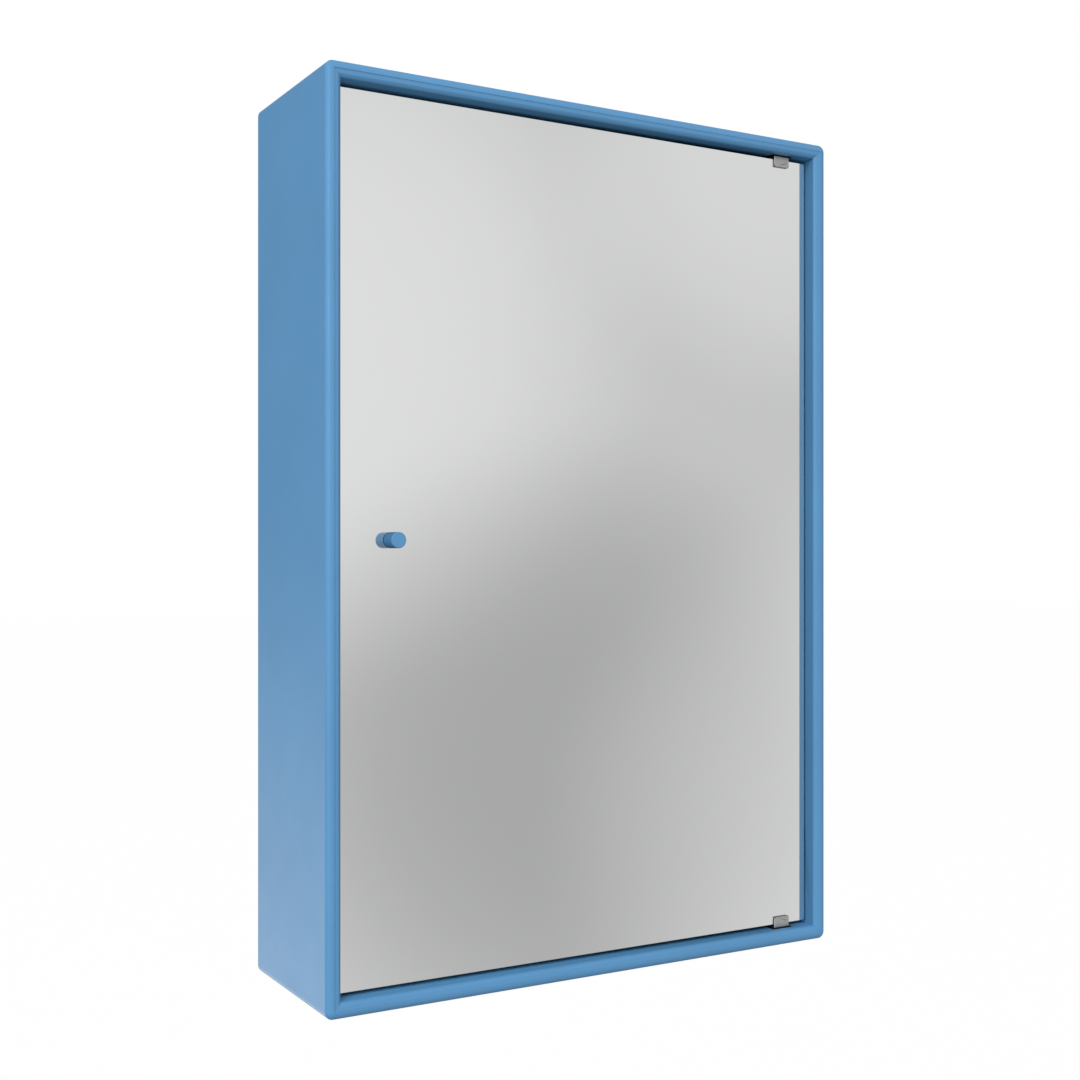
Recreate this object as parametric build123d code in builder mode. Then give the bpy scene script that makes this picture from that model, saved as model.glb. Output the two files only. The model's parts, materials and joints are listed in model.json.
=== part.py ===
from build123d import *
import os
from math import hypot, sqrt

# Wall-hung bathroom cabinet with one frameless mirror door, in millimetres.
# X runs to the right seen from the front, the front faces -Y, Z is up.
# The origin is on the wall, in the middle of the four wall screws.

# Case
case_width = 468.0
case_height = 696.0
case_depth = 147.0
panel = 12.0
corner_radius = 9.0
nose_rise = 3.5
wall_gap = 1.5
cutter_over = 2.0

# Back panel and corner tongues
back_thickness = 6.0
back_inset = 14.0
groove_depth = 6.0
groove_play = 0.1
groove_end_play = 0.4
tongue_width = 8.0
tongue_thickness = 3.0
tongue_inset = 5.0
tongue_setback = 12.0
tongue_play = 0.1

# Mirror door
door_recess = 12.5
door_end_gap = 3.0
door_side_gap = 2.0
glass_thickness = 4.0
backing_thickness = 1.0
backing_margin = 1.0
door_polish = 0.5

# Pivot clamps and sockets
pivot_from_edge = 27.0
clamp_width = 14.5
clamp_cover = 7.0
clamp_lip = 2.0
clamp_running_gap = 0.6
clamp_edge_play = 0.2
clamp_corner = 2.0
clamp_back_cover = 14.0
clamp_back_thickness = 5.0
pad_thickness = 1.2
pad_width = 11.0
pad_height = 9.0
pad_to_block = 0.8
clamp_screw_diameter = 4.0
clamp_screw_down = 8.0
pin_diameter = 5.0
pin_reach = 7.0
pin_play = 0.05
washer_thickness = 0.3
washer_diameter = 9.0
socket_length = 21.0
socket_width = 13.0
socket_flange = 1.0
socket_boss = 9.0
socket_boss_depth = 9.0
socket_fit = 0.05
pin_seat_play = 0.02
pin_end_play = 0.5
pin_chamfer = 0.5
clamp_edge = 0.4
clamp_dimple_diameter = 1.6
clamp_dimple_depth = 0.4
clamp_dimple_aside = 3.6
clamp_dimple_down = 3.4
hex_key = 2.0
hex_key_depth = 2.0

# Knob
knob_diameter = 12.0
knob_projection = 15.0
knob_from_edge = 42.0
knob_edge = 0.6
knob_washer = 0.5
knob_washer_diameter = 11.0
knob_bore_depth = 10.0
bush_diameter = 6.0
bush_flange = 1.0
bush_flange_diameter = 12.0
knob_screw_diameter = 4.0
knob_screw_head = 8.0
knob_screw_head_height = 2.4
knob_screw_end_play = 0.8
thread_play = 0.05
bush_play = 0.1

# Shelves and their pins
shelf_count = 2
shelf_thickness = 5.0
shelf_side_gap = 1.5
shelf_back_gap = 1.5
shelf_front_clearance = 4.0
shelf_edge = 0.6
shelf_corner = 2.0
shelf_pin_diameter = 5.0
shelf_pin_sunk = 8.0
shelf_pin_reach = 7.0
sleeve_width = 7.0
sleeve_flat = 3.0
pin_from_shelf_front = 18.0
pin_from_shelf_back = 14.0
pin_hole_depth = 9.0
pin_fit = 0.05

# Door stops
stop_from_end = 40.0
stop_reach = 10.0
stop_sleeve_diameter = 10.0
stop_flat = 4.2
door_stop_gap = 0.3

# Magnetic catch
catch_width = 16.0
catch_height = 34.0
catch_length = 20.0
catch_ear = 9.0
catch_ear_thickness = 2.5
magnet_width = 6.0
magnet_height = 22.0
magnet_length = 12.0
pole_thickness = 1.5
pole_proud = 1.0
strike_thickness = 1.5
strike_width = 12.0
strike_height = 30.0
strike_gap = 0.3
catch_play = 0.1
catch_edge = 1.0
catch_screw_diameter = 3.5
catch_screw_head = 7.0
catch_screw_head_height = 2.2
catch_screw_sunk = 9.0

# Hangers: wall plate, hook, nut, height screw and housing
plate_width = 38.0
plate_flat = 52.0
plate_thickness = 2.0
plate_joggle = 4.0
plate_lip = 14.0
plate_corner = 4.0
plate_from_hook = 13.0
wall_screw_spacing_z = 32.0
wall_screw_hole = 6.0
hook_thickness = 3.0
hook_arm = 12.0
hook_tip = 10.0
hook_play = 0.3
hook_tail = 11.5
hook_drop = 50.0
hook_round = 4.0
hook_run = 17.0
nut_length = 14.0
nut_width = 12.0
nut_height = 14.0
height_screw_diameter = 5.0
height_screw_head = 9.0
height_screw_head_height = 4.0
height_screw_above = 14.0
cross_recess = 4.4
cross_recess_width = 0.9
cross_recess_depth = 1.2
nut_bore = 6.0
ring_above_floor = 0.3
ring_mouth = 4.0
nut_above_ring = 8.7
ring_thickness = 1.0
ring_diameter = 9.0
height_travel = 5.0
housing_width = 18.0
housing_wall = 2.0
housing_floor = 3.0
housing_headroom = 4.0
housing_top_gap = 3.0
housing_screw_diameter = 3.5
housing_screw_head = 8.0
housing_screw_head_height = 2.2
housing_screw_sunk = 9.0
housing_screw_from_back = 8.0
housing_screw_inset = 10.0
housing_bend = 2.0
hook_window_play = 1.5

# Wall bumpers
bumper_width = 9.0
bumper_from_end = 30.0

# Places worked out from the sizes
lip_top_z = plate_flat / 2 + plate_joggle + plate_lip
hook_top_z = lip_top_z + hook_arm
housing_top_z = hook_top_z + height_travel + housing_headroom

back_y = -wall_gap
front_y = back_y - case_depth
inner_top = housing_top_z + housing_top_gap
top_z = inner_top + panel
bottom_z = top_z - case_height
middle_z = (top_z + bottom_z) / 2
half_width = case_width / 2
inner_half = half_width - panel
inner_bottom = bottom_z + panel
inner_height = inner_top - inner_bottom
inner_half_height = inner_height / 2

half_nose = panel / 2

back_rear_y = back_y - back_inset
back_front_y = back_rear_y - back_thickness

glass_front_y = front_y + door_recess
glass_back_y = glass_front_y + glass_thickness
door_back_y = glass_back_y + backing_thickness
door_half = inner_half - door_side_gap
door_top = inner_top - door_end_gap
door_bottom = inner_bottom + door_end_gap
door_height = door_top - door_bottom

pivot_x = door_half - pivot_from_edge
pivot_y = (glass_front_y + door_back_y) / 2
tail_reach = hypot(pivot_from_edge, (door_back_y - glass_front_y) / 2)

knob_x = -door_half + knob_from_edge

shelf_front_y = pivot_y + tail_reach + shelf_front_clearance
shelf_back_y = back_front_y - shelf_back_gap
shelf_half = inner_half - shelf_side_gap
shelf_tops = [
    inner_bottom + (i + 1) * inner_height / (shelf_count + 1) for i in range(shelf_count)
]
pin_columns = (shelf_front_y + pin_from_shelf_front, shelf_back_y - pin_from_shelf_back)

catch_x = -inner_half + catch_width / 2
strike_face_y = door_back_y + strike_thickness
pole_front_y = strike_face_y + strike_gap
catch_front_y = pole_front_y + pole_proud

hook_x = inner_half - housing_width / 2
wall_screw_x = hook_x - plate_from_hook
housing_front_y = back_front_y - housing_wall - hook_tail - nut_length - hook_run
hook_front_y = housing_front_y + housing_wall + hook_play
tail_back_y = hook_front_y + hook_tail
tail_bottom_z = lip_top_z - hook_drop
height_screw_y = tail_back_y + nut_length / 2
ring_bottom_z = tail_bottom_z - height_travel - nut_above_ring - ring_thickness
floor_top_z = ring_bottom_z - ring_above_floor
housing_bottom_z = floor_top_z - housing_floor
housing_screw_y = back_front_y - housing_screw_from_back
housing_screw_zs = (
    floor_top_z + housing_screw_inset,
    lip_top_z - height_travel - housing_screw_inset,
)
stop_y = door_back_y + door_stop_gap + stop_flat
stop_zs = (inner_bottom + stop_from_end, inner_top - stop_from_end)
catch_y = catch_front_y + catch_length / 2
catch_screw_zs = [middle_z + end * (catch_height + catch_ear) / 2 for end in (-1, 1)]


def facing_front(y):
    """Upright plane at depth y, facing the front: local x is X, local y is Z."""
    return Plane.XZ.offset(-y)


def save(builder, name):
    """Label one finished piece and write it."""
    builder.part.label = name
    export_step(builder.part, f"parts/{name}.step")


def nose_waste(plane):
    """Half of what is cut away in front of a board's nose.

    Local x runs from the board's face into the board, local y towards the front.
    """
    with BuildSketch(plane) as waste:
        with BuildLine():
            TangentArc((half_nose, 0), (0, -nose_rise), tangent=(-1, 0))
            Polyline(
                (0, -nose_rise),
                (-cutter_over, -nose_rise),
                (-cutter_over, cutter_over),
                (half_nose, cutter_over),
                (half_nose, 0),
            )
        make_face()
    return waste.sketch


os.makedirs("parts", exist_ok=True)

# Case ring, before it is split at the mitres

with BuildPart() as tongues:
    tongue_length = case_depth - back_inset - back_thickness - 2 * tongue_setback
    for side in (-1, 1):
        for end in (-1, 1):
            corner = (
                side * (inner_half + tongue_inset),
                back_front_y - tongue_setback,
                middle_z + end * (inner_half_height + tongue_inset),
            )
            across = Plane(origin=corner, x_dir=(1, 0, -side * end), z_dir=(0, -1, 0))
            with BuildSketch(across):
                Rectangle(tongue_width, tongue_thickness)
    extrude(amount=tongue_length)

with BuildPart() as tongue_grooves:
    for side in (-1, 1):
        for end in (-1, 1):
            corner = (
                side * (inner_half + tongue_inset),
                back_front_y - tongue_setback + tongue_play,
                middle_z + end * (inner_half_height + tongue_inset),
            )
            across = Plane(origin=corner, x_dir=(1, 0, -side * end), z_dir=(0, -1, 0))
            with BuildSketch(across):
                Rectangle(tongue_width + 2 * tongue_play, tongue_thickness + 2 * tongue_play)
    extrude(amount=tongue_length + 2 * tongue_play)

with BuildPart() as case_ring:
    with BuildSketch(facing_front(back_y)):
        with Locations((0, middle_z)):
            RectangleRounded(case_width, case_height, corner_radius)
            Rectangle(2 * inner_half, inner_height, mode=Mode.SUBTRACT)
    extrude(amount=case_depth)
    # Outer half of the nose, run round the rounded outline
    rim = case_ring.faces().sort_by(Axis.Y)[0].outer_wire()
    inwards = (rim % 0).cross(Vector(0, -1, 0))
    if inwards.dot(Vector(0, front_y, middle_z) - rim @ 0) < 0:
        inwards = -inwards
    start = Plane(origin=rim @ 0, x_dir=inwards, z_dir=inwards.cross(Vector(0, -1, 0)))
    sweep(sections=nose_waste(start), path=rim, mode=Mode.SUBTRACT)
    # Groove for the back panel
    with BuildSketch(facing_front(back_rear_y + groove_play)):
        with Locations((0, middle_z)):
            Rectangle(2 * (inner_half + groove_depth), inner_height + 2 * groove_depth)
    extrude(amount=back_thickness + 2 * groove_play, mode=Mode.SUBTRACT)
    add(tongue_grooves.part, mode=Mode.SUBTRACT)


def mitred_room(outward):
    """Front-view corners of the room that one board has between the mitre planes."""
    inside = -panel
    outside = 2 * panel
    if outward.X:
        return [
            (outward.X * (inner_half + d), middle_z + end * (inner_half_height + d))
            for d, end in ((inside, -1), (outside, -1), (outside, 1), (inside, 1))
        ]
    return [
        (end * (inner_half + d), middle_z + outward.Z * (inner_half_height + d))
        for d, end in ((inside, -1), (outside, -1), (outside, 1), (inside, 1))
    ]


def mitred_board(outward):
    """One board of the case: its share of the ring, with the inner half of its nose."""
    reach = inner_half if outward.X else inner_half_height
    inner_face = Vector(0, front_y, middle_z) + outward * reach
    along = outward.cross(Vector(0, -1, 0))
    with BuildPart() as board:
        add(case_ring.part)
        with BuildSketch(facing_front(0)):
            Polygon(*mitred_room(outward), align=None)
        extrude(amount=case_depth + wall_gap + cutter_over, mode=Mode.INTERSECT)
        nose_waste_face = nose_waste(Plane(origin=inner_face, x_dir=outward, z_dir=along))
        extrude(nose_waste_face, amount=case_height, both=True, mode=Mode.SUBTRACT)
    return board.part


def out_of_wall(side, y, z):
    """Plane on a side panel's inner face: normal into the case, local y up."""
    return Plane(origin=(side * inner_half, y, z), x_dir=(0, -side, 0), z_dir=(-side, 0, 0))


def across_end(end):
    """Plane on the top or bottom panel's inner face over the pivot, normal into the panel."""
    face_z = middle_z + end * inner_half_height
    return Plane(origin=(pivot_x, pivot_y, face_z), x_dir=(1, 0, 0), z_dir=(0, 0, end))


# Side panels, with the shelf pins' holes and the holes for what is screwed on

for name, side in (("side_panel_left", -1), ("side_panel_right", 1)):
    with BuildPart() as side_panel:
        add(mitred_board(Vector(side, 0, 0)))
        for shelf_top in shelf_tops:
            seat_z = shelf_top - shelf_thickness - sleeve_flat
            for column in pin_columns:
                with BuildSketch(out_of_wall(side, column, seat_z)):
                    Circle(shelf_pin_diameter / 2 + pin_fit)
                extrude(amount=-pin_hole_depth, mode=Mode.SUBTRACT)
        for z in housing_screw_zs:
            with BuildSketch(out_of_wall(side, housing_screw_y, z)):
                Circle(housing_screw_diameter / 2 + thread_play)
            extrude(amount=-housing_screw_sunk - thread_play, mode=Mode.SUBTRACT)
        if side < 0:
            for z in stop_zs:
                with BuildSketch(out_of_wall(side, stop_y, z)):
                    Circle(shelf_pin_diameter / 2 + pin_fit)
                extrude(amount=-pin_hole_depth, mode=Mode.SUBTRACT)
            for z in catch_screw_zs:
                with BuildSketch(out_of_wall(side, catch_y, z)):
                    Circle(catch_screw_diameter / 2 + thread_play)
                extrude(amount=-catch_screw_sunk - thread_play, mode=Mode.SUBTRACT)
    save(side_panel, name)

# Top and bottom panels, with the seats of the pivot sockets

for name, end in (("bottom_panel", -1), ("top_panel", 1)):
    with BuildPart() as end_panel:
        add(mitred_board(Vector(0, 0, end)))
        with BuildSketch(across_end(end)):
            Rectangle(socket_length + 2 * socket_fit, socket_width + 2 * socket_fit)
        extrude(amount=socket_flange, mode=Mode.SUBTRACT)
        with BuildSketch(across_end(end)):
            Circle(socket_boss / 2 + socket_fit)
        extrude(amount=socket_boss_depth + socket_fit, mode=Mode.SUBTRACT)
    save(end_panel, name)

save(tongues, "mitre_tongues")

# Back panel, with a window for each hook

with BuildPart() as back_panel:
    with BuildSketch(facing_front(back_rear_y)):
        with Locations((0, middle_z)):
            Rectangle(
                2 * (inner_half + groove_depth - groove_end_play),
                inner_height + 2 * (groove_depth - groove_end_play),
            )
        for side in (-1, 1):
            with Locations((side * hook_x, lip_top_z + hook_arm / 2)):
                Rectangle(
                    hook_thickness + 2 * hook_window_play,
                    hook_arm + 2 * (height_travel + hook_window_play),
                    mode=Mode.SUBTRACT,
                )
    extrude(amount=back_thickness)
save(back_panel, "back_panel")

# Pivot sockets in the top and bottom panels

for name, end in (("pivot_socket_bottom", -1), ("pivot_socket_top", 1)):
    with BuildPart() as socket:
        with BuildSketch(across_end(end)):
            Rectangle(socket_length, socket_width)
        extrude(amount=socket_flange)
        with BuildSketch(across_end(end)):
            Circle(socket_boss / 2)
        extrude(amount=socket_boss_depth)
        with BuildSketch(across_end(end)):
            Circle(pin_diameter / 2 + pin_play)
        extrude(amount=pin_reach + pin_end_play, mode=Mode.SUBTRACT)
    save(socket, name)

# Mirror glass and its safety backing

with BuildPart() as mirror_glass:
    with BuildSketch(facing_front(glass_back_y)):
        with Locations((0, middle_z)):
            Rectangle(2 * door_half, door_height)
        with Locations((knob_x, middle_z)):
            Circle(bush_diameter / 2 + bush_play, mode=Mode.SUBTRACT)
    extrude(amount=glass_thickness)
    front_face = mirror_glass.faces().sort_by(Axis.Y)[0]
    rear_face = mirror_glass.faces().sort_by(Axis.Y)[-1]
    chamfer(front_face.outer_wire().edges() + rear_face.outer_wire().edges(), door_polish)
save(mirror_glass, "mirror_glass")

with BuildPart() as mirror_backing:
    with BuildSketch(facing_front(door_back_y)):
        with Locations((0, middle_z)):
            Rectangle(2 * (door_half - backing_margin), door_height - 2 * backing_margin)
        with Locations((knob_x, middle_z)):
            Circle(bush_diameter / 2 + bush_play, mode=Mode.SUBTRACT)
    extrude(amount=backing_thickness)
save(mirror_backing, "mirror_backing")

# Hinge clamps, which grip the glass from the front, over its edge and from behind

lip_front = glass_front_y - clamp_lip
block_front = door_back_y + pad_thickness + pad_to_block
block_back = block_front + clamp_back_thickness
web_outside = door_end_gap - clamp_running_gap

for name, end in (("hinge_clamp_bottom", -1), ("hinge_clamp_top", 1)):
    edge_z = middle_z + end * door_height / 2
    with BuildPart() as clamp:
        side_view = Plane(origin=(pivot_x, 0, edge_z), x_dir=(0, 1, 0), z_dir=(end, 0, 0))
        with BuildSketch(side_view):
            Polygon(
                (lip_front, -clamp_cover),
                (glass_front_y, -clamp_cover),
                (glass_front_y, clamp_edge_play),
                (block_front, clamp_edge_play),
                (block_front, -clamp_back_cover),
                (block_back, -clamp_back_cover),
                (block_back, web_outside),
                (lip_front, web_outside),
                align=None,
            )
        extrude(amount=clamp_width / 2, both=True)
        lip_corners = clamp.edges().filter_by(Axis.Y).sort_by(Axis.Y)[:2]
        fillet(lip_corners, clamp_corner)
        lip_face = clamp.faces().sort_by(Axis.Y)[0]
        chamfer(lip_face.outer_wire().edges(), clamp_edge)
        with BuildSketch(facing_front(lip_front + clamp_dimple_depth)):
            with Locations((pivot_x + clamp_dimple_aside, edge_z - end * clamp_dimple_down)):
                Circle(clamp_dimple_diameter / 2)
        extrude(amount=clamp_dimple_depth, mode=Mode.SUBTRACT)
        with BuildSketch(facing_front(block_back)):
            with Locations((pivot_x, edge_z - end * clamp_screw_down)):
                Circle(clamp_screw_diameter / 2 + thread_play)
        extrude(amount=clamp_back_thickness, mode=Mode.SUBTRACT)
        with BuildSketch(Plane.XY.offset(edge_z)):
            with Locations((pivot_x, pivot_y)):
                Circle(pin_diameter / 2 + pin_seat_play)
        extrude(amount=end * web_outside, mode=Mode.SUBTRACT)
    save(clamp, name)

with BuildPart() as pivot_pins:
    pin_length = door_end_gap - clamp_edge_play + pin_reach
    for end in (-1, 1):
        pin_base_z = middle_z + end * (door_height / 2 + clamp_edge_play)
        with BuildSketch(Plane(origin=(pivot_x, pivot_y, pin_base_z), z_dir=(0, 0, end))):
            Circle(pin_diameter / 2)
    extrude(amount=pin_length)
    tips = pivot_pins.edges().sort_by(Axis.Z)
    chamfer([tips[0], tips[-1]], pin_chamfer)
save(pivot_pins, "pivot_pins")

with BuildPart() as thrust_washer:
    with BuildSketch(Plane.XY.offset(door_bottom - web_outside)):
        with Locations((pivot_x, pivot_y)):
            Circle(washer_diameter / 2)
            Circle(pin_diameter / 2 + pin_play, mode=Mode.SUBTRACT)
    extrude(amount=-washer_thickness)
save(thrust_washer, "thrust_washer")

with BuildPart() as clamp_screws:
    for end in (-1, 1):
        screw_z = middle_z + end * (door_height / 2 - clamp_screw_down)
        with BuildSketch(facing_front(block_back)):
            with Locations((pivot_x, screw_z)):
                Circle(clamp_screw_diameter / 2)
        extrude(amount=clamp_back_thickness + pad_to_block)
        with BuildSketch(facing_front(block_back)):
            with Locations((pivot_x, screw_z)):
                RegularPolygon(hex_key / 2, 6, major_radius=False)
        extrude(amount=hex_key_depth, mode=Mode.SUBTRACT)
save(clamp_screws, "clamp_screws")

with BuildPart() as clamp_pads:
    with BuildSketch(facing_front(door_back_y)):
        for end in (-1, 1):
            with Locations((pivot_x, middle_z + end * (door_height / 2 - clamp_screw_down))):
                Rectangle(pad_width, pad_height)
    extrude(amount=-pad_thickness)
save(clamp_pads, "clamp_pads")

# Knob, held through the glass from behind

knob_foot_y = glass_front_y - knob_washer
with BuildPart() as knob:
    with BuildSketch(facing_front(knob_foot_y)):
        with Locations((knob_x, middle_z)):
            Circle(knob_diameter / 2)
    extrude(amount=knob_projection - knob_washer)
    chamfer(knob.faces().sort_by(Axis.Y)[0].edges(), knob_edge)
    with BuildSketch(facing_front(knob_foot_y)):
        with Locations((knob_x, middle_z)):
            Circle(knob_screw_diameter / 2 + thread_play)
    extrude(amount=knob_bore_depth, mode=Mode.SUBTRACT)
save(knob, "knob")

with BuildPart() as knob_front_washer:
    with BuildSketch(facing_front(glass_front_y)):
        with Locations((knob_x, middle_z)):
            Circle(knob_washer_diameter / 2)
            Circle(knob_screw_diameter / 2 + bush_play, mode=Mode.SUBTRACT)
    extrude(amount=knob_washer)
save(knob_front_washer, "knob_washer")

with BuildPart() as knob_bush:
    with BuildSketch(facing_front(door_back_y)):
        with Locations((knob_x, middle_z)):
            Circle(bush_flange_diameter / 2)
    extrude(amount=-bush_flange)
    with BuildSketch(facing_front(door_back_y)):
        with Locations((knob_x, middle_z)):
            Circle(bush_diameter / 2)
    extrude(amount=glass_thickness + backing_thickness - bush_play)
    with BuildSketch(facing_front(door_back_y + bush_flange)):
        with Locations((knob_x, middle_z)):
            Circle(knob_screw_diameter / 2 + bush_play)
    extrude(amount=bush_flange + glass_thickness + backing_thickness, mode=Mode.SUBTRACT)
save(knob_bush, "knob_bush")

with BuildPart() as knob_screw:
    head_seat_y = door_back_y + bush_flange
    with BuildSketch(facing_front(head_seat_y)):
        with Locations((knob_x, middle_z)):
            Circle(knob_screw_head / 2)
    extrude(amount=-knob_screw_head_height)
    with BuildSketch(facing_front(head_seat_y)):
        with Locations((knob_x, middle_z)):
            Circle(knob_screw_diameter / 2)
    extrude(amount=head_seat_y - knob_foot_y + knob_bore_depth - knob_screw_end_play)
save(knob_screw, "knob_screw")

# Magnetic catch on the left side panel, and its strike plate on the door

strike_x = -door_half + backing_margin + strike_width / 2
with BuildPart() as strike_plate:
    with BuildSketch(facing_front(door_back_y)):
        with Locations((strike_x, middle_z)):
            Rectangle(strike_width, strike_height)
    extrude(amount=-strike_thickness)
save(strike_plate, "strike_plate")

with BuildPart() as catch_housing:
    with BuildSketch(facing_front(catch_front_y)):
        with Locations((catch_x, middle_z)):
            Rectangle(catch_width, catch_height)
        with Locations((-inner_half + catch_ear_thickness / 2, middle_z)):
            Rectangle(catch_ear_thickness, catch_height + 2 * catch_ear)
    extrude(amount=-catch_length)
    nose_edges = catch_housing.edges().filter_by(Axis.Y).sort_by(Axis.X)[-2:]
    fillet(nose_edges, catch_edge)
    with BuildSketch(facing_front(catch_front_y)):
        with Locations((catch_x, middle_z)):
            Rectangle(
                magnet_width + 2 * pole_thickness + 2 * catch_play,
                magnet_height + 2 * catch_play,
            )
    extrude(amount=-magnet_length - catch_play, mode=Mode.SUBTRACT)
    for z in catch_screw_zs:
        with BuildSketch(out_of_wall(-1, catch_y, z)):
            Circle(catch_screw_diameter / 2 + catch_play)
        extrude(amount=catch_ear_thickness, mode=Mode.SUBTRACT)
save(catch_housing, "catch_housing")

with BuildPart() as catch_magnet:
    with BuildSketch(facing_front(catch_front_y)):
        with Locations((catch_x, middle_z)):
            Rectangle(magnet_width, magnet_height)
    extrude(amount=-magnet_length)
save(catch_magnet, "catch_magnet")

with BuildPart() as catch_poles:
    with BuildSketch(facing_front(pole_front_y)):
        with Locations((catch_x, middle_z)):
            with GridLocations(magnet_width + pole_thickness, 1, 2, 1):
                Rectangle(pole_thickness, magnet_height)
    extrude(amount=-magnet_length - pole_proud)
save(catch_poles, "catch_pole_plates")

with BuildPart() as catch_screws:
    for z in catch_screw_zs:
        seat = out_of_wall(-1, catch_y, z).offset(catch_ear_thickness)
        with BuildSketch(seat):
            Circle(catch_screw_head / 2)
        extrude(amount=catch_screw_head_height)
        with BuildSketch(seat):
            Circle(catch_screw_diameter / 2)
        extrude(amount=-catch_ear_thickness - catch_screw_sunk)
save(catch_screws, "catch_screws")

# Door stops: pins in the left side panel with rubber sleeves behind the door's edge

with BuildPart() as stop_pins:
    for z in stop_zs:
        with BuildSketch(out_of_wall(-1, stop_y, z).offset(-shelf_pin_sunk)):
            Circle(shelf_pin_diameter / 2)
        extrude(amount=shelf_pin_sunk + stop_reach)
save(stop_pins, "stop_pins")

with BuildPart() as stop_sleeves:
    for z in stop_zs:
        with BuildSketch(out_of_wall(-1, stop_y, z)):
            Circle(stop_sleeve_diameter / 2)
            with Locations((-stop_flat - stop_sleeve_diameter / 2, 0)):
                Rectangle(stop_sleeve_diameter, stop_sleeve_diameter, mode=Mode.SUBTRACT)
            Circle(shelf_pin_diameter / 2 + pin_fit, mode=Mode.SUBTRACT)
        extrude(amount=stop_reach)
save(stop_sleeves, "stop_sleeves")

# Glass shelves on pins with clear sleeves

for number, shelf_top in enumerate(shelf_tops, start=1):
    seat_z = shelf_top - shelf_thickness - sleeve_flat
    seats = [(side, column) for side in (-1, 1) for column in pin_columns]

    with BuildPart() as shelf:
        with BuildSketch(Plane.XY.offset(shelf_top - shelf_thickness)):
            with Locations((0, (shelf_front_y + shelf_back_y) / 2)):
                Rectangle(2 * shelf_half, shelf_back_y - shelf_front_y)
        extrude(amount=shelf_thickness)
        chamfer(shelf.edges().filter_by(Axis.Z), shelf_corner)
        front_edges = shelf.edges().filter_by(Axis.X).group_by(Axis.Y)[0]
        chamfer(front_edges, shelf_edge)
    save(shelf, f"shelf_{number}")

    with BuildPart() as shelf_pins:
        for side, column in seats:
            with BuildSketch(out_of_wall(side, column, seat_z).offset(-shelf_pin_sunk)):
                Circle(shelf_pin_diameter / 2)
            extrude(amount=shelf_pin_sunk + shelf_pin_reach)
    save(shelf_pins, f"shelf_{number}_pins")

    with BuildPart() as shelf_sleeves:
        for side, column in seats:
            with BuildSketch(out_of_wall(side, column, seat_z)):
                Rectangle(sleeve_width, 2 * sleeve_flat)
                Circle(shelf_pin_diameter / 2 + pin_fit, mode=Mode.SUBTRACT)
            extrude(amount=shelf_pin_reach)
    save(shelf_sleeves, f"shelf_{number}_sleeves")

# Hangers

bend_shift = plate_thickness * (sqrt(2) - 1)
flat_top_z = plate_flat / 2
lip_bottom_z = flat_top_z + plate_joggle
tip_back_y = -hook_play
tip_front_y = -plate_joggle + hook_play
tip_bottom_z = lip_top_z - hook_tip

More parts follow.
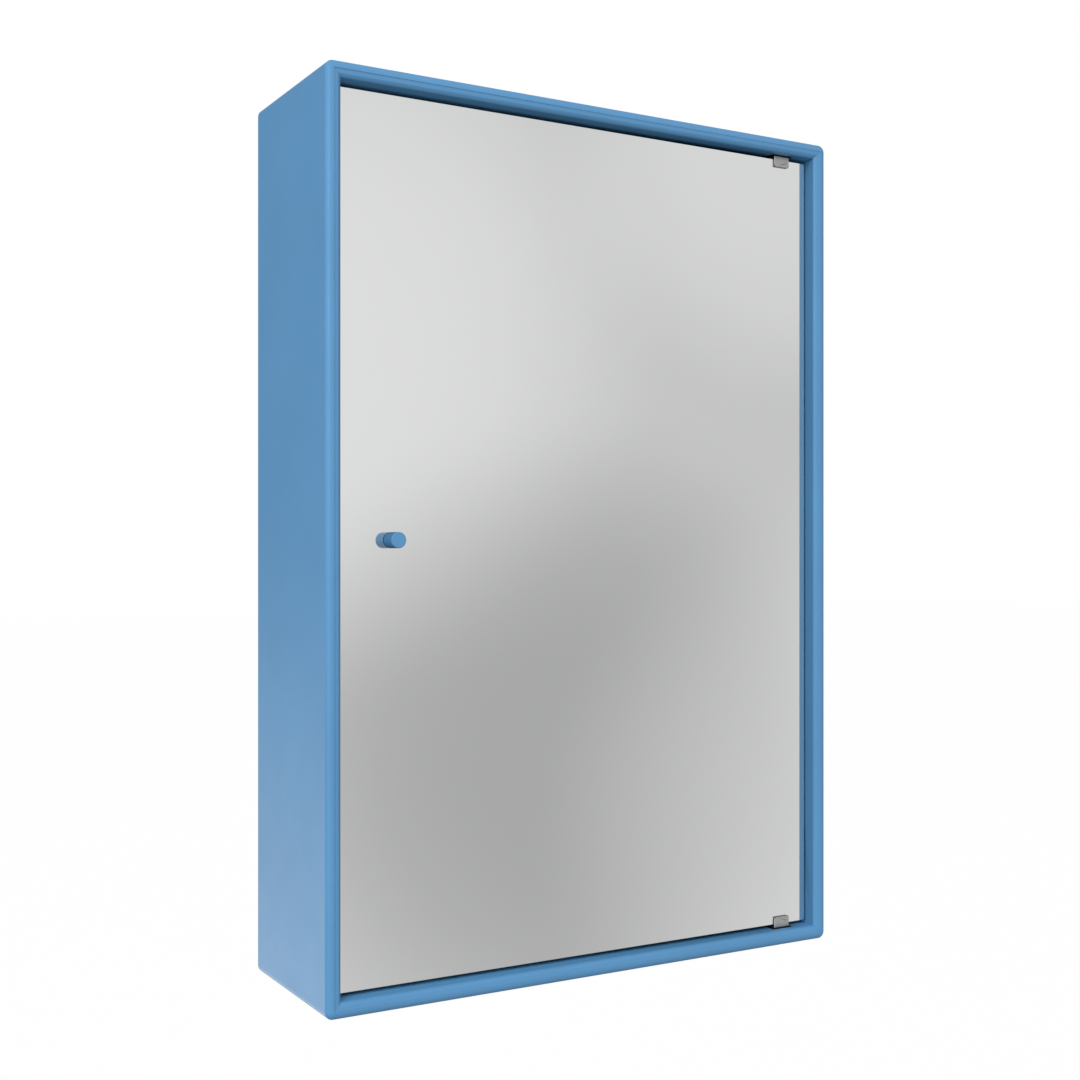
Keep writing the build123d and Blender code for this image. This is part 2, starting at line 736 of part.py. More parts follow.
for name, side in (("left", -1), ("right", 1)):
    with BuildPart() as wall_plate:
        with BuildSketch(Plane.YZ.offset(side * wall_screw_x)):
            Polygon(
                (0, -flat_top_z),
                (0, flat_top_z),
                (-plate_joggle, lip_bottom_z),
                (-plate_joggle, lip_top_z),
                (-plate_joggle - plate_thickness, lip_top_z),
                (-plate_joggle - plate_thickness, lip_bottom_z - bend_shift),
                (-plate_thickness, flat_top_z - bend_shift),
                (-plate_thickness, -flat_top_z),
                align=None,
            )
        extrude(amount=plate_width / 2, both=True)
        outer_corners = wall_plate.edges().filter_by(Axis.Y)
        chamfer(outer_corners, plate_corner)
        with BuildSketch(facing_front(0)):
            with Locations((side * wall_screw_x, 0)):
                with GridLocations(1, wall_screw_spacing_z, 1, 2):
                    Circle(wall_screw_hole / 2)
        extrude(amount=plate_thickness, mode=Mode.SUBTRACT)
    save(wall_plate, f"wall_plate_{name}")

    with BuildPart() as hook:
        with BuildSketch(Plane.YZ.offset(side * hook_x)):
            Polygon(
                (tip_back_y, tip_bottom_z),
                (tip_back_y, hook_top_z),
                (hook_front_y, hook_top_z),
                (hook_front_y, tail_bottom_z),
                (tail_back_y, tail_bottom_z),
                (tail_back_y, lip_top_z),
                (tip_front_y, lip_top_z),
                (tip_front_y, tip_bottom_z),
                align=None,
            )
        extrude(amount=hook_thickness / 2, both=True)
        across = hook.edges().filter_by(Axis.X)
        top_corners = across.group_by(Axis.Z)[-1]
        throat = across.filter_by_position(Axis.Z, lip_top_z - hook_play, lip_top_z + hook_play)
        fillet(top_corners + [throat.sort_by(Axis.Y)[0]], hook_round)
    save(hook, f"hook_{name}")

    with BuildPart() as hook_nut:
        with BuildSketch(Plane.XY.offset(tail_bottom_z)):
            with Locations((side * hook_x, height_screw_y)):
                Rectangle(nut_width, nut_length)
                Circle(nut_bore / 2, mode=Mode.SUBTRACT)
        extrude(amount=nut_height)
    save(hook_nut, f"hook_nut_{name}")

    with BuildPart() as height_screw:
        head_top_z = housing_bottom_z - ring_above_floor
        head_bottom_z = head_top_z - height_screw_head_height
        with BuildSketch(Plane.XY.offset(head_bottom_z)):
            with Locations((side * hook_x, height_screw_y)):
                Circle(height_screw_head / 2)
        extrude(amount=height_screw_head_height)
        with BuildSketch(Plane.XY.offset(head_top_z)):
            with Locations((side * hook_x, height_screw_y)):
                Circle(height_screw_diameter / 2)
        extrude(amount=tail_bottom_z + nut_height + height_screw_above - head_top_z)
        with BuildSketch(Plane.XY.offset(head_bottom_z)):
            with Locations((side * hook_x, height_screw_y)):
                Rectangle(cross_recess, cross_recess_width)
                Rectangle(cross_recess_width, cross_recess)
        extrude(amount=cross_recess_depth, mode=Mode.SUBTRACT)
    save(height_screw, f"height_screw_{name}")

    with BuildPart() as screw_ring:
        with BuildSketch(Plane.XY.offset(ring_bottom_z)):
            with Locations((side * hook_x, height_screw_y)):
                Circle(ring_diameter / 2)
                Circle(height_screw_diameter / 2 + pin_seat_play, mode=Mode.SUBTRACT)
            with Locations((side * hook_x, height_screw_y - ring_diameter / 2)):
                Rectangle(ring_mouth, ring_diameter, mode=Mode.SUBTRACT)
        extrude(amount=ring_thickness)
    save(screw_ring, f"screw_ring_{name}")

    with BuildPart() as housing:
        housing_depth = back_front_y - housing_front_y
        with BuildSketch(Plane.XY.offset(housing_bottom_z)):
            with Locations((side * hook_x, housing_front_y + housing_depth / 2)):
                Rectangle(housing_width, housing_depth)
            with Locations((side * hook_x, housing_front_y + housing_wall + housing_depth / 2)):
                Rectangle(housing_width - 2 * housing_wall, housing_depth, mode=Mode.SUBTRACT)
        extrude(amount=housing_top_z - housing_bottom_z)
        with BuildSketch(Plane.XY.offset(housing_bottom_z)):
            with Locations((side * hook_x, housing_front_y + housing_depth / 2)):
                Rectangle(housing_width, housing_depth)
        extrude(amount=housing_floor)
        with BuildSketch(Plane.XY.offset(housing_bottom_z)):
            with Locations((side * hook_x, height_screw_y)):
                Circle(height_screw_diameter / 2 + pin_play)
        extrude(amount=housing_floor, mode=Mode.SUBTRACT)
        for z in housing_screw_zs:
            with BuildSketch(out_of_wall(side, housing_screw_y, z)):
                Circle(housing_screw_diameter / 2 + catch_play)
            extrude(amount=housing_wall, mode=Mode.SUBTRACT)
        bends = housing.edges().filter_by(Axis.Z).sort_by(Axis.Y)[:2]
        fillet(bends, housing_bend)
    save(housing, f"hanger_housing_{name}")

    with BuildPart() as housing_screws:
        for z in housing_screw_zs:
            seat = out_of_wall(side, housing_screw_y, z).offset(housing_wall)
            with BuildSketch(seat):
                Circle(housing_screw_head / 2)
            extrude(amount=housing_screw_head_height)
            with BuildSketch(seat):
                Circle(housing_screw_diameter / 2)
            extrude(amount=-housing_wall - housing_screw_sunk)
    save(housing_screws, f"housing_screws_{name}")

# Bumpers between the case and the wall

with BuildPart() as wall_bumpers:
    with BuildSketch(facing_front(0)):
        with Locations((0, middle_z)):
            with GridLocations(
                case_width - panel, case_height - 2 * bumper_from_end, 2, 2
            ):
                Rectangle(bumper_width, bumper_width)
    extrude(amount=wall_gap)
save(wall_bumpers, "wall_bumpers")
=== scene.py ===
"""Looks of a wall-hung bathroom mirror cabinet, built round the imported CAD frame."""
import json
import math

import bmesh
import bpy
from mathutils import Matrix, Vector


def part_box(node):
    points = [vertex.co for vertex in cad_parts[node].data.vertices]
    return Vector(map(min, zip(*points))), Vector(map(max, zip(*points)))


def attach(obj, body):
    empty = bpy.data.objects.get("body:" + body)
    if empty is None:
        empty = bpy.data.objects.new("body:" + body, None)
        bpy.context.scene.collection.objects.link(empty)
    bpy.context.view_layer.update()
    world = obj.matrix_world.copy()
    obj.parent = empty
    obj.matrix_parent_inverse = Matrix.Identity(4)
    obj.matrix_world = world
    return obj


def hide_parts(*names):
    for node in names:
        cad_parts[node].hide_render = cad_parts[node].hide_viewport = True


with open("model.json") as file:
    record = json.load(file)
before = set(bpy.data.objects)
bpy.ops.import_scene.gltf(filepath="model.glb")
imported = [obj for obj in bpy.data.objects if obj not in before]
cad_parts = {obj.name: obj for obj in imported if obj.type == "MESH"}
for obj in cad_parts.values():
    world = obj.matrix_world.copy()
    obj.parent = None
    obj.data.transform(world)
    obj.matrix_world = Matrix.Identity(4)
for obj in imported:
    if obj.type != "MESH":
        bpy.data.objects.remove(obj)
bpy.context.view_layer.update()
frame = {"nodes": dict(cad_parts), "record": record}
nodes = frame["nodes"]

case_low, case_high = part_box("side_panel_left")
case_right_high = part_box("side_panel_right")[1]
front_y = case_low.y
back_y = case_high.y
half_width = case_right_high.x
panel = case_high.x - case_low.x
middle_z = (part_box("top_panel")[1].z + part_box("bottom_panel")[0].z) / 2
half_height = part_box("top_panel")[1].z - middle_z


# Shared shader pieces

def add(tree, kind, **values):
    """A shader node, with its own settings and the sockets' constants set by name."""
    node = tree.nodes.new(kind)
    for name, value in values.items():
        if name.startswith("in_"):
            key = name[3:].replace("_", " ")
            if key not in node.inputs:
                key = int(key) if key.isdigit() else key
            node.inputs[key].default_value = value
        else:
            setattr(node, name, value)
    return node


def join(tree, source, target):
    tree.links.new(source, target)


def math_node(tree, operation, a, b=None, clamp=False):
    """A Math node on sockets or numbers; gives its output."""
    node = add(tree, "ShaderNodeMath", operation=operation, use_clamp=clamp)
    for place, value in enumerate((a, b)):
        if value is None:
            continue
        if isinstance(value, (int, float)):
            node.inputs[place].default_value = value
        else:
            join(tree, value, node.inputs[place])
    return node.outputs[0]


def object_point(tree):
    return add(tree, "ShaderNodeTexCoord").outputs["Object"]


def stretched(tree, scale):
    """The object's own point, scaled by (x, y, z)."""
    mapping = add(tree, "ShaderNodeMapping")
    mapping.inputs["Scale"].default_value = scale
    join(tree, object_point(tree), mapping.inputs["Vector"])
    return mapping.outputs[0]


def noise(tree, point, scale, detail=3.0, roughness=0.55):
    node = add(tree, "ShaderNodeTexNoise", in_Scale=scale, in_Detail=detail, in_Roughness=roughness)
    join(tree, point, node.inputs["Vector"])
    return node.outputs["Fac"]


def spread(tree, value, low, high, to_low=0.0, to_high=1.0):
    """Map a value's range smoothly to another."""
    node = add(tree, "ShaderNodeMapRange", interpolation_type="SMOOTHSTEP")
    node.inputs["From Min"].default_value = low
    node.inputs["From Max"].default_value = high
    node.inputs["To Min"].default_value = to_low
    node.inputs["To Max"].default_value = to_high
    join(tree, value, node.inputs["Value"])
    return node.outputs[0]


def ramp(tree, fac, *stops):
    """Colours along 0 to 1: each stop is (place, (r, g, b))."""
    node = add(tree, "ShaderNodeValToRGB")
    elements = node.color_ramp.elements
    while len(elements) < len(stops):
        elements.new(0.5)
    for element, (place, colour) in zip(elements, stops):
        element.position = place
        element.color = (*colour, 1.0)
    join(tree, fac, node.inputs["Fac"])
    return node.outputs["Color"]


def mixed(tree, fac, a, b):
    """Colour a where fac is 0 and b where it is 1; each is a socket or (r, g, b)."""
    node = add(tree, "ShaderNodeMix", data_type="RGBA")
    join(tree, fac, node.inputs["Factor"])
    for name, value in (("A", a), ("B", b)):
        socket = [s for s in node.inputs if s.name == name and s.type == "RGBA"][0]
        if isinstance(value, tuple):
            socket.default_value = (*value, 1.0)
        else:
            join(tree, value, socket)
    return [s for s in node.outputs if s.type == "RGBA"][0]


def bumped(tree, height, distance, strength=1.0):
    node = add(tree, "ShaderNodeBump", in_Distance=distance, in_Strength=strength)
    join(tree, height, node.inputs["Height"])
    return node.outputs["Normal"]


def material(name, **values):
    """A material with the Principled shader's constants set by name; gives it, its tree and shader."""
    made = bpy.data.materials.new(name)
    made.use_nodes = True
    shader = made.node_tree.nodes["Principled BSDF"]
    for key, value in values.items():
        shader.inputs[key.replace("_", " ").title() if key != "IOR" else key].default_value = value
    return made, made.node_tree, shader


def shades(colour, *factors):
    return [tuple(min(1.0, c * f) for c in colour) for f in factors]


# Group for the fine texture that sprayed lacquer leaves

noise_low, noise_high = 0.3, 0.7  # the part of a noise texture's range that its values fill


def new_group(name, outputs):
    made = bpy.data.node_groups.new(name, "ShaderNodeTree")
    for label, kind in outputs:
        made.interface.new_socket(name=label, in_out="OUTPUT", socket_type=kind)
    return made, made.nodes.new("NodeGroupOutput")


peel_group, peel_out = new_group("sprayed_lacquer", [
    ("Tint", "NodeSocketFloat"), ("Roughness", "NodeSocketFloat"), ("Normal", "NodeSocketVector")])
peel_point = object_point(peel_group)
wave = noise(peel_group, peel_point, 620.0, 2.0)
fine = noise(peel_group, peel_point, 2600.0, 2.0)
orange_peel = math_node(peel_group, "ADD", wave, math_node(peel_group, "MULTIPLY", fine, 0.3))
join(peel_group, bumped(peel_group, orange_peel, 0.00003, 0.5), peel_out.inputs["Normal"])
join(peel_group, noise(peel_group, peel_point, 9.0, 4.0), peel_out.inputs["Tint"])
sheen = noise(peel_group, peel_point, 40.0, 4.0)
join(peel_group, spread(peel_group, sheen, noise_low, noise_high, 0.29, 0.33), peel_out.inputs["Roughness"])


def use_group(tree, made):
    return add(tree, "ShaderNodeGroup", node_tree=made).outputs


# Materials

BLUE = (0.098, 0.295, 0.545)


def lacquer(name):
    made, tree, shader = material(name)
    shader.inputs["Specular IOR Level"].default_value = 0.45
    peel = use_group(tree, peel_group)
    low, mid, high = shades(BLUE, 0.965, 1.0, 1.03)
    colour = ramp(tree, peel["Tint"], (noise_low, low), (0.5, mid), (noise_high, high))
    join(tree, colour, shader.inputs["Base Color"])
    join(tree, peel["Roughness"], shader.inputs["Roughness"])
    join(tree, peel["Normal"], shader.inputs["Normal"])
    return made


board = lacquer("lacquered_board")
knob_finish = lacquer("lacquered_knob")

tongue, tree, shader = material("tongue_wood", roughness=0.6)
grain = noise(tree, stretched(tree, (900.0, 14.0, 900.0)), 1.0, 4.0)
colours = shades((0.62, 0.45, 0.28), 0.7, 1.0, 1.12)
join(tree, ramp(tree, grain, (noise_low, colours[0]), (0.5, colours[1]), (noise_high, colours[2])),
     shader.inputs["Base Color"])
join(tree, bumped(tree, grain, 0.0001), shader.inputs["Normal"])

mirror, tree, shader = material("silvered_glass", metallic=1.0)
normal = add(tree, "ShaderNodeSeparateXYZ")
join(tree, add(tree, "ShaderNodeTexCoord").outputs["Normal"], normal.inputs[0])
facing = math_node(tree, "ABSOLUTE", normal.outputs["Y"])
edge = spread(tree, facing, 0.90, 0.97, 1.0, 0.0)
silver = ramp(tree, noise(tree, object_point(tree), 5.0, 2.0),
              (noise_low, (0.915, 0.925, 0.92)), (noise_high, (0.93, 0.94, 0.935)))
colour = mixed(tree, edge, silver, (0.33, 0.42, 0.40))
# Only the camera sees the mirror at full brightness: it throws little light on the boards beside it
camera_ray = add(tree, "ShaderNodeLightPath").outputs["Is Camera Ray"]
join(tree, mixed(tree, camera_ray, (0.08, 0.085, 0.085), colour), shader.inputs["Base Color"])
polish = spread(tree, noise(tree, object_point(tree), 60.0, 3.0), noise_low, noise_high, 0.035, 0.05)
ground_edge = math_node(tree, "MULTIPLY", edge, 0.25)
join(tree, math_node(tree, "ADD", polish, ground_edge), shader.inputs["Roughness"])

film, tree, shader = material("safety_film", roughness=0.6)
weave = add(tree, "ShaderNodeTexBrick", in_Scale=1.0, offset=0.0)
weave.inputs["Brick Width"].default_value = 0.5
weave.inputs["Row Height"].default_value = 0.5
weave.inputs["Mortar Size"].default_value = 0.06
turned = add(tree, "ShaderNodeMapping")
turned.inputs["Scale"].default_value = (300.0, 300.0, 300.0)
turned.inputs["Rotation"].default_value = (math.radians(90), 0.0, 0.0)
join(tree, object_point(tree), turned.inputs["Vector"])
join(tree, turned.outputs[0], weave.inputs["Vector"])
tone = ramp(tree, noise(tree, object_point(tree), 30.0),
            (noise_low, (0.33, 0.34, 0.35)), (noise_high, (0.36, 0.37, 0.38)))
join(tree, mixed(tree, weave.outputs["Fac"], tone, (0.24, 0.25, 0.26)), shader.inputs["Base Color"])
join(tree, bumped(tree, weave.outputs["Fac"], -0.00005), shader.inputs["Normal"])


def brushed(name, colour, stretch, low, high):
    """Metal with fine lines along the axis whose stretch is small."""
    made, tree, shader = material(name, metallic=1.0)
    lines = noise(tree, stretched(tree, stretch), 1.0, 3.0)
    dark, light = shades(colour, 0.88, 1.08)
    join(tree, ramp(tree, lines, (noise_low, dark), (noise_high, light)), shader.inputs["Base Color"])
    join(tree, spread(tree, lines, noise_low, noise_high, low, high), shader.inputs["Roughness"])
    join(tree, bumped(tree, lines, 0.00002, 0.6), shader.inputs["Normal"])
    return made


nickel = brushed("satin_nickel", (0.57, 0.56, 0.54), (160.0, 5000.0, 5000.0), 0.30, 0.42)

zinc, tree, shader = material("bright_zinc", metallic=1.0)
spangle = add(tree, "ShaderNodeTexVoronoi", in_Scale=420.0)
join(tree, object_point(tree), spangle.inputs["Vector"])
flake = add(tree, "ShaderNodeSeparateColor")
join(tree, spangle.outputs["Color"], flake.inputs[0])
join(tree, ramp(tree, flake.outputs[0], (0.0, (0.50, 0.52, 0.55)), (1.0, (0.62, 0.64, 0.66))),
     shader.inputs["Base Color"])
join(tree, spread(tree, flake.outputs[0], 0.0, 1.0, 0.26, 0.40), shader.inputs["Roughness"])
join(tree, bumped(tree, noise(tree, object_point(tree), 900.0), 0.000006), shader.inputs["Normal"])


def moulded(name, colour, roughness, grain_height, **values):
    """Plastic with the fine grain of its mould."""
    made, tree, shader = material(name, **values)
    dark, light = shades(colour, 0.93, 1.05)
    soft = noise(tree, object_point(tree), 70.0)
    join(tree, ramp(tree, soft, (noise_low, dark), (noise_high, light)), shader.inputs["Base Color"])
    join(tree, spread(tree, soft, noise_low, noise_high, roughness - 0.04, roughness + 0.04),
         shader.inputs["Roughness"])
    grain = noise(tree, object_point(tree), 2200.0, 2.0)
    join(tree, bumped(tree, grain, grain_height), shader.inputs["Normal"])
    return made


black = moulded("black_plastic", (0.020, 0.020, 0.022), 0.45, 0.00003)
white = moulded("white_plastic", (0.78, 0.78, 0.76), 0.32, 0.00002)
clear = moulded("clear_plastic", (0.90, 0.92, 0.93), 0.22, 0.00001, transmission_weight=0.75, IOR=1.49)
rubber = moulded("clear_rubber", (0.72, 0.73, 0.72), 0.5, 0.00003, transmission_weight=0.35, IOR=1.41)
ferrite = moulded("magnet_ferrite", (0.045, 0.045, 0.05), 0.55, 0.00006)

glass, tree, shader = material("float_glass", transmission_weight=1.0, IOR=1.52)
normal = add(tree, "ShaderNodeSeparateXYZ")
join(tree, add(tree, "ShaderNodeTexCoord").outputs["Normal"], normal.inputs[0])
rim = spread(tree, math_node(tree, "ABSOLUTE", normal.outputs["Z"]), 0.6, 0.95, 1.0, 0.0)
join(tree, mixed(tree, rim, (0.97, 0.99, 0.98), (0.55, 0.78, 0.70)), shader.inputs["Base Color"])
ground = math_node(tree, "MULTIPLY", rim, 0.10)
clear_face = spread(tree, noise(tree, object_point(tree), 80.0), noise_low, noise_high, 0.0, 0.02)
join(tree, math_node(tree, "ADD", ground, clear_face), shader.inputs["Roughness"])

finishes = {
    "lacquered_board": board,
    "tongue_wood": tongue,
    "mirror": mirror,
    "safety_backing": film,
    "satin_metal": nickel,
    "zinc_steel": zinc,
    "black_plastic": black,
    "white_plastic": white,
    "clear_plastic": clear,
    "clear_rubber": rubber,
    "shelf_glass": glass,
    "magnet_ferrite": ferrite,
    "blue_metal": knob_finish,
}
for part in frame["record"]["subparts"]:
    mesh = nodes[part["node"]].data
    mesh.materials.clear()
    mesh.materials.append(finishes[part["material_slot"]])


# Boards and clamps whose shape the photograph corrects: each starts as its solid's own mesh

solid_corner = 0.009
seen_corner = panel / 2
half_nose = panel / 2
nose_rise = 0.0035
nose_radius = (nose_rise ** 2 + half_nose ** 2) / (2 * nose_rise)
nose_steps = 8
clamp_low, clamp_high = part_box("hinge_clamp_top")
seen_clamp_width = 0.016
crease = math.radians(20)
tiny = 1e-6


def tighten_corner(point):
    """Move a point near an outer corner of the case from the solid's radius to the seen one."""
    reach = Vector((abs(point.x) - half_width, abs(point.z - middle_z) - half_height))
    reach += Vector((solid_corner, solid_corner))
    if min(reach) < -tiny:
        return
    kept = max(seen_corner - solid_corner + reach.length, 0.0)
    reach = reach.normalized() * kept
    point.x = math.copysign(half_width - seen_corner + reach.x, point.x)
    point.z = middle_z + math.copysign(half_height - seen_corner + reach.y, point.z - middle_z)


def round_inner_half(form, upright):
    """Cut the flat inner half of a board's front into strips and curve it back like the outer half."""

    def inward(point):
        return half_width - abs(point.x) if upright else half_height - abs(point.z - middle_z)

    def flat_front():
        return [face for face in form.faces if all(abs(v.co.y - front_y) < tiny for v in face.verts)]

    middle = flat_front()[0].calc_center_median()
    for step in range(1, nose_steps):
        place = half_nose + half_nose * math.sin(math.pi / 2 * step / nose_steps)
        if upright:
            cut, across = Vector((math.copysign(half_width - place, middle.x), 0, 0)), (1, 0, 0)
        else:
            cut = Vector((0, 0, middle_z + math.copysign(half_height - place, middle.z - middle_z)))
            across = (0, 0, 1)
        faces = flat_front()
        edges = {edge_ for face in faces for edge_ in face.edges}
        points = {point for face in faces for point in face.verts}
        bmesh.ops.bisect_plane(form, geom=[*faces, *edges, *points], dist=tiny,
                               plane_co=cut, plane_no=across)
    for vertex in form.verts:
        aside = inward(vertex.co) - half_nose
        if abs(vertex.co.y - front_y) < tiny and aside > tiny:
            vertex.co.y = front_y + nose_radius - math.sqrt(nose_radius ** 2 - min(aside, half_nose) ** 2)


def on_curve(point):
    """Whether a point lies on a board's nose or on a rounded outer corner of the case."""
    reach = min(abs(point.x) - half_width, abs(point.z - middle_z) - half_height) + seen_corner
    return point.y < front_y + nose_rise + tiny or reach > -tiny


def reshaped(name, piece_name, body, change, smooth):
    """The scene's own piece in place of a node: a copy of its mesh after a change to it.

    Faces whose points all pass the smooth test are shaded smooth.
    """
    slot = next(part["material_slot"] for part in frame["record"]["subparts"] if part["node"] == name)
    form = bmesh.new()
    form.from_mesh(nodes[name].data)
    bmesh.ops.remove_doubles(form, verts=form.verts, dist=tiny)
    change(form)
    bmesh.ops.remove_doubles(form, verts=form.verts, dist=tiny)
    bmesh.ops.dissolve_degenerate(form, edges=form.edges, dist=tiny)
    bmesh.ops.triangulate(form, faces=[face for face in form.faces if len(face.verts) > 4])
    mesh = bpy.data.meshes.new(piece_name)
    form.to_mesh(mesh)
    form.free()
    for face in mesh.polygons:
        face.use_smooth = all(smooth(mesh.vertices[number].co) for number in face.vertices)
    mesh.set_sharp_from_angle(angle=crease)
    mesh.materials.append(finishes[slot])
    piece = bpy.data.objects.new(piece_name, mesh)
    bpy.context.scene.collection.objects.link(piece)
    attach(piece, body)
    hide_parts(name)


def reshape_board(upright):
    def change(form):
        for vertex in form.verts:
            tighten_corner(vertex.co)
        bmesh.ops.remove_doubles(form, verts=form.verts, dist=tiny)
        round_inner_half(form, upright)
    return change


def widen_clamp(form):
    """Spread a clamp from its pivot to the width that the photograph shows."""
    pivot_x = (clamp_low.x + clamp_high.x) / 2
    solid_width = clamp_high.x - clamp_low.x
    for vertex in form.verts:
        vertex.co.x = pivot_x + (vertex.co.x - pivot_x) * seen_clamp_width / solid_width


reshaped("side_panel_left", "left_board", "case", reshape_board(True), on_curve)
reshaped("side_panel_right", "right_board", "case", reshape_board(True), on_curve)
reshaped("top_panel", "top_board", "case", reshape_board(False), on_curve)
reshaped("bottom_panel", "bottom_board", "case", reshape_board(False), on_curve)
reshaped("hinge_clamp_top", "top_clamp", "door", widen_clamp, lambda point: False)
reshaped("hinge_clamp_bottom", "bottom_clamp", "door", widen_clamp, lambda point: False)


# Cross recesses of the screws, which the solids leave plain, drawn as dark crosses whose colour is painted
# shade

def cross_recess(name, centre, outwards, body, across=0.0040, width=0.0008, depth=0.0002):
    """A cross with slanted walls on a screw head, coloured dark as painted shade so that it looks sunk."""
    form = bmesh.new()
    for turn in (0, 1):
        for lift, grow in ((0.0, 1.0), (depth, 0.82)):
            a, b = across * grow / 2, width * grow / 2
            if turn:
                a, b = b, a
            ring = [form.verts.new((x, y, lift)) for x, y in ((-a, -b), (a, -b), (a, b), (-a, b))]
            if lift:
                form.faces.new(ring)
                for i in range(4):
                    form.faces.new((below[i], below[(i + 1) % 4], ring[(i + 1) % 4], ring[i]))
            below = ring
    mesh = bpy.data.meshes.new(name)
    form.to_mesh(mesh)
    form.free()
    turned_to = Vector(outwards).to_track_quat("Z", "Y").to_matrix().to_4x4()
    mesh.transform(Matrix.Translation(centre) @ turned_to)
    cross = bpy.data.objects.new(name, mesh)
    bpy.context.scene.collection.objects.link(cross)
    mesh.materials.append(recess_painted_shade)
    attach(cross, body)


# Painted shade: the crosses' near-black colour stands in for the shade inside a screw's recess
recess_painted_shade, tree, shader = material("screw_recess_painted_shade", metallic=1.0, roughness=0.5)
shade = ramp(tree, noise(tree, object_point(tree), 1500.0),
             (noise_low, (0.05, 0.05, 0.055)), (noise_high, (0.10, 0.10, 0.11)))
join(tree, shade, shader.inputs["Base Color"])


def islands(node):
    """Boxes of a node's separate solids, as (lowest corner, highest corner)."""
    mesh = nodes[node].data
    leader = list(range(len(mesh.vertices)))

    def head(i):
        while leader[i] != i:
            leader[i] = leader[leader[i]]
            i = leader[i]
        return i

    where = {}
    for vertex in mesh.vertices:
        key = tuple(round(c * 1e5) for c in vertex.co)
        if key in where:
            leader[head(vertex.index)] = head(where[key])
        where[key] = vertex.index
    for edge_ in mesh.edges:
        a, b = edge_.vertices
        leader[head(a)] = head(b)
    groups = {}
    for vertex in mesh.vertices:
        groups.setdefault(head(vertex.index), []).append(vertex.co)
    return [
        (Vector(map(min, zip(*points))), Vector(map(max, zip(*points)))) for points in groups.values()
    ]


for side, outwards in (("left", 1), ("right", -1)):
    for number, (low, high) in enumerate(islands(f"housing_screws_{side}"), start=1):
        top_x = high.x if outwards > 0 else low.x
        centre = (top_x, (low.y + high.y) / 2, (low.z + high.z) / 2)
        cross_recess(f"housing_screw_cross_{side}_{number}", centre, (outwards, 0, 0), "case")
for number, (low, high) in enumerate(islands("catch_screws"), start=1):
    centre = (high.x, (low.y + high.y) / 2, (low.z + high.z) / 2)
    cross_recess(f"catch_screw_cross_{number}", centre, (1, 0, 0), "case", across=0.0036)
low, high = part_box("knob_screw")
cross_recess("knob_screw_cross", ((low.x + high.x) / 2, high.y, (low.z + high.z) / 2), (0, 1, 0), "door")


# Camera, as the photograph's vanishing points and edges give it

camera_data = bpy.data.cameras.new("camera")
camera_data.lens = 49.58
camera_data.sensor_width = 36.0
camera_data.shift_y = 0.0106
camera = bpy.data.objects.new("camera", camera_data)
camera.location = (-0.63805, -1.1536, -0.2764)
camera.rotation_euler = (math.radians(90), 0.0, math.radians(-30.06))
bpy.context.scene.collection.objects.link(camera)
bpy.context.scene.camera = camera


# Studio: floor, lamps and surroundings

def lamp(name, place, aim, size, power):
    data = bpy.data.lights.new(name, "AREA")
    data.size = size
    data.energy = power
    made = bpy.data.objects.new(name, data)
    made.location = place
    made.rotation_euler = (Vector(aim) - Vector(place)).to_track_quat("-Z", "Y").to_euler()
    bpy.context.scene.collection.objects.link(made)
    return made


target = (0.0, (front_y + back_y) / 2, middle_z)
key_lamp = lamp("key_lamp", (-2.65, -2.15, 1.1), target, 1.8, 58.0)
key_lamp.visible_glossy = False
front_lamp = lamp("front_lamp", (0.6, -3.2, 1.0), target, 2.4, 3.0)
front_lamp.visible_glossy = False

floor_drop = 1.0
floor_reach = 30
floor_z = middle_z - half_height - floor_drop
floor_mesh = bpy.data.meshes.new("floor")
corners = ((-1, -1), (1, -1), (1, 1), (-1, 1))
floor_corners = [(floor_reach * x, floor_reach * y, floor_z) for x, y in corners]
floor_mesh.from_pydata(floor_corners, [], [(0, 1, 2, 3)])
floor = bpy.data.objects.new("floor", floor_mesh)
bpy.context.scene.collection.objects.link(floor)
floor.visible_glossy = False
floor.visible_diffuse = False
pale, tree, shader = material("pale_floor", roughness=0.9)
shade = ramp(tree, noise(tree, object_point(tree), 2.0),
             (noise_low, (0.93, 0.93, 0.93)), (noise_high, (0.95, 0.95, 0.95)))
join(tree, shade, shader.inputs["Base Color"])
rays = add(tree, "ShaderNodeLightPath")
glow = add(tree, "ShaderNodeEmission", in_Strength=1.0)
blend = add(tree, "ShaderNodeMixShader")
share = math_node(tree, "MULTIPLY", rays.outputs["Is Camera Ray"], 0.96)
join(tree, share, blend.inputs[0])
join(tree, shader.outputs[0], blend.inputs[1])
join(tree, glow.outputs[0], blend.inputs[2])
join(tree, blend.outputs[0], tree.nodes["Material Output"].inputs["Surface"])
floor_mesh.materials.append(pale)

world = bpy.data.worlds.new("studio")
bpy.context.scene.world = world
world.use_nodes = True
tree = world.node_tree
tree.nodes.clear()
rays = add(tree, "ShaderNodeLightPath")
direction = add(tree, "ShaderNodeTexCoord").outputs["Generated"]


def patch(towards, degrees, amount):
    """Soft round patch of the studio walls: its brightness fades to nothing that far round."""
    product = add(tree, "ShaderNodeVectorMath", operation="DOT_PRODUCT")
    join(tree, direction, product.inputs[0])
    product.inputs[1].default_value = Vector(towards).normalized()
    return spread(tree, product.outputs["Value"], math.cos(math.radians(degrees)), 1.0, 0.0, amount)


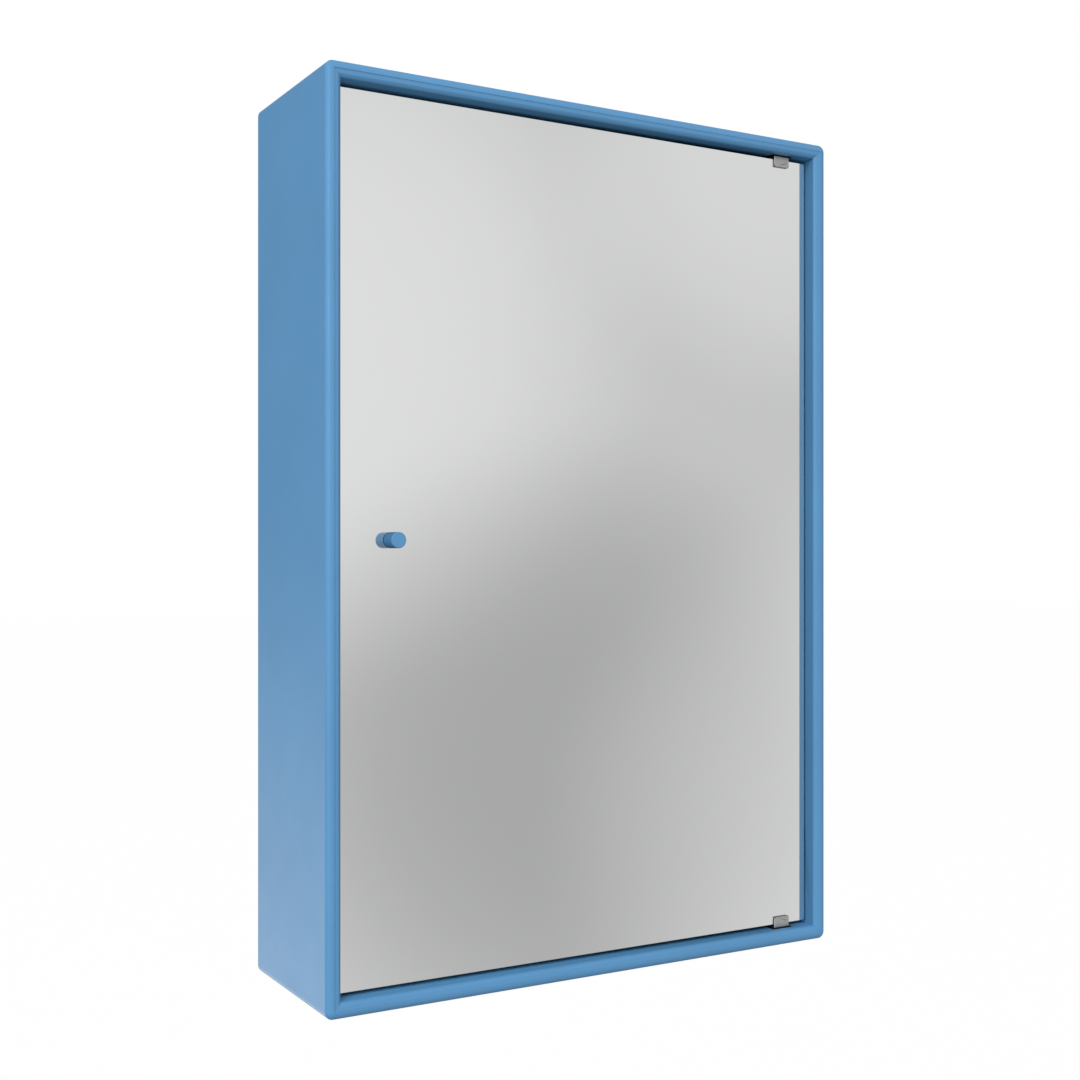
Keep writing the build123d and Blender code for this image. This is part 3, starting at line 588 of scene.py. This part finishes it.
walls_everywhere = 0.15
walls_in_front = patch((0.1, -0.99, -0.1), 110.0, 0.467)
level = math_node(tree, "ADD", walls_in_front, walls_everywhere)
for towards, degrees, amount in (
    ((0.526, -0.866, -0.141), 13.8, -0.192),  # four that shade the mirror
    ((0.850, -0.866, -0.230), 15.0, 0.178),
    ((0.749, -0.866, 0.318), 10.8, 0.129),
    ((0.317, -0.866, 0.137), 15.3, 0.162),
    ((-0.40, 0.85, -0.75), 42.0, 1.5),  # low on the left side panel
    ((-0.78, -0.62, 0.05), 26.0, 1.2),  # on the noses' left shoulders
):
    level = math_node(tree, "ADD", level, patch(towards, degrees, amount))
studio = add(tree, "ShaderNodeBackground", in_Strength=1.0)
join(tree, add(tree, "ShaderNodeCombineColor").outputs[0], studio.inputs["Color"])
tint = studio.inputs["Color"].links[0].from_node
for channel in tint.inputs[:3]:
    join(tree, level, channel)
white_ground = add(tree, "ShaderNodeBackground", in_Strength=1.0)
white_ground.inputs["Color"].default_value = (1.0, 1.0, 1.0, 1.0)
soft_fill = add(tree, "ShaderNodeBackground")
soft_fill.inputs["Color"].default_value = (0.98, 0.99, 1.0, 1.0)
aim = add(tree, "ShaderNodeSeparateXYZ")
join(tree, direction, aim.inputs[0])
fill_from_below, fill_from_above = 0.42, 0.98
join(tree, spread(tree, aim.outputs["Z"], -1.0, 1.0, fill_from_below, fill_from_above),
     soft_fill.inputs["Strength"])
first = add(tree, "ShaderNodeMixShader")
join(tree, rays.outputs["Is Glossy Ray"], first.inputs[0])
join(tree, soft_fill.outputs[0], first.inputs[1])
join(tree, studio.outputs[0], first.inputs[2])
second = add(tree, "ShaderNodeMixShader")
seen = math_node(tree, "ADD", rays.outputs["Is Camera Ray"], rays.outputs["Is Transmission Ray"],
                 clamp=True)
join(tree, seen, second.inputs[0])
join(tree, first.outputs[0], second.inputs[1])
join(tree, white_ground.outputs[0], second.inputs[2])
join(tree, second.outputs[0], add(tree, "ShaderNodeOutputWorld").inputs["Surface"])

bpy.context.scene.view_settings.view_transform = "Standard"
